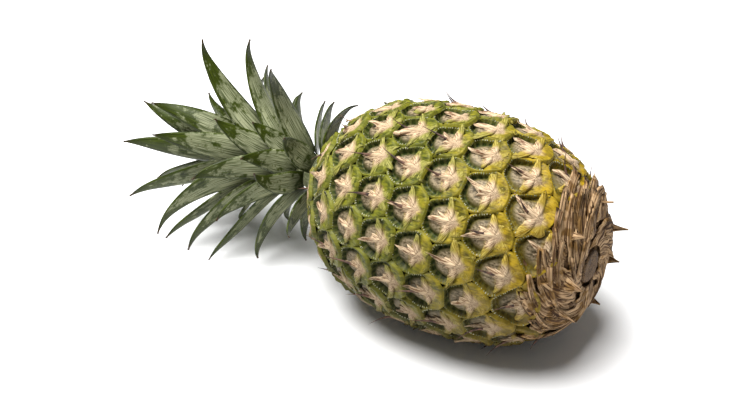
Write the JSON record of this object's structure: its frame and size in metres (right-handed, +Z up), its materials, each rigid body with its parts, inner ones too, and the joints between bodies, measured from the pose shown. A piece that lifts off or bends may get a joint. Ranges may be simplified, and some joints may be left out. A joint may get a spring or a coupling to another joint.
{
  "type": "pineapple",
  "caption": "Whole pineapple with its leafy crown, lying on its side; rind of raised eyes under pointed bracts",
  "frame": {"origin": "On the surface that the fruit lies on, in the middle of the flat spot that it rests on", "axes": "+Z up; +X along the fruit's level axis towards the cut butt end, with the crown at -X; +Y across"},
  "size_m": [0.2787, 0.1213, 0.1223],
  "materials": {
    "rind": "satin",
    "dry_bract": "matte",
    "cut_stalk": "matte",
    "crown_stem": "satin",
    "leaf": "satin"
  },
  "bodies": {
    "root": {"fruit": "rind", "base_husk": "dry_bract", "stem_stub": "cut_stalk", "crown_stem": "crown_stem", "leaf_01": "leaf", "leaf_02": "leaf", "leaf_03": "leaf", "leaf_04": "leaf", "leaf_05": "leaf", "leaf_06": "leaf", "leaf_07": "leaf", "leaf_08": "leaf", "leaf_09": "leaf", "leaf_10": "leaf", "leaf_11": "leaf", "leaf_12": "leaf", "leaf_13": "leaf", "leaf_14": "leaf", "leaf_15": "leaf", "leaf_16": "leaf", "leaf_17": "leaf", "leaf_18": "leaf", "leaf_19": "leaf", "leaf_20": "leaf", "leaf_21": "leaf", "leaf_22": "leaf", "leaf_23": "leaf", "leaf_24": "leaf", "leaf_25": "leaf", "leaf_26": "leaf", "leaf_27": "leaf", "leaf_28": "leaf", "leaf_29": "leaf", "leaf_30": "leaf", "leaf_31": "leaf", "leaf_32": "leaf", "leaf_33": "leaf", "leaf_34": "leaf", "leaf_35": "leaf", "leaf_36": "leaf", "leaf_37": "leaf", "leaf_38": "leaf", "leaf_39": "leaf", "leaf_40": "leaf", "leaf_41": "leaf", "leaf_42": "leaf", "leaf_43": "leaf", "leaf_44": "leaf", "leaf_45": "leaf", "leaf_46": "leaf", "leaf_47": "leaf", "leaf_48": "leaf", "leaf_49": "leaf", "leaf_50": "leaf"}
  },
  "joints": []
}
